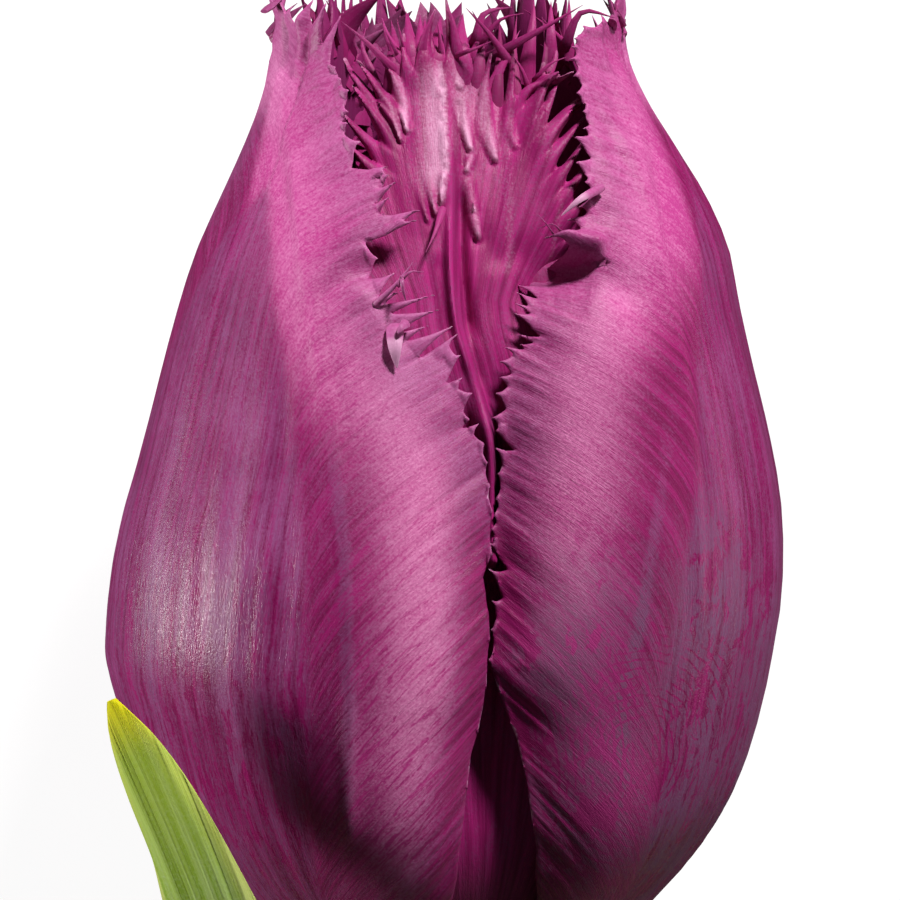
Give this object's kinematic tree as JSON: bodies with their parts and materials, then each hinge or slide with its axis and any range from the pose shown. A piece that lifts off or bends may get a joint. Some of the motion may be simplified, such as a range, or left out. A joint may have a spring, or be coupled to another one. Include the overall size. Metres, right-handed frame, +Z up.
{
  "type": "fringed tulip cut flower",
  "caption": "Cut tulip lying down: closed purple bloom with fringed tepals, stamens and a pistil inside, on a green stem with clasping leaves.",
  "frame": {"origin": "on the surface that the flower lies on, under the middle of its length and width", "axes": "+Y along the flower towards the bloom, +Z up from the surface it lies on, +X to the right as seen from above with the bloom at the top"},
  "size_m": [0.116, 0.3244, 0.0485],
  "materials": {
    "outer_tepal": "satin",
    "inner_tepal": "satin",
    "filament": "satin",
    "anther": "matte",
    "pistil": "satin",
    "stem": "satin",
    "leaf": "satin"
  },
  "bodies": {
    "root": {"outer_tepal_left": "outer_tepal", "outer_tepal_right": "outer_tepal", "outer_tepal_under": "outer_tepal", "inner_tepal_front": "inner_tepal", "inner_tepal_lower_left": "inner_tepal", "inner_tepal_lower_right": "inner_tepal", "filament_1": "filament", "filament_2": "filament", "filament_3": "filament", "filament_4": "filament", "filament_5": "filament", "filament_6": "filament", "anther_1": "anther", "anther_2": "anther", "anther_3": "anther", "anther_4": "anther", "anther_5": "anther", "anther_6": "anther", "pistil": "pistil", "flower_stem": "stem", "leaf_upper": "leaf", "leaf_middle": "leaf", "leaf_lower": "leaf"}
  },
  "joints": []
}
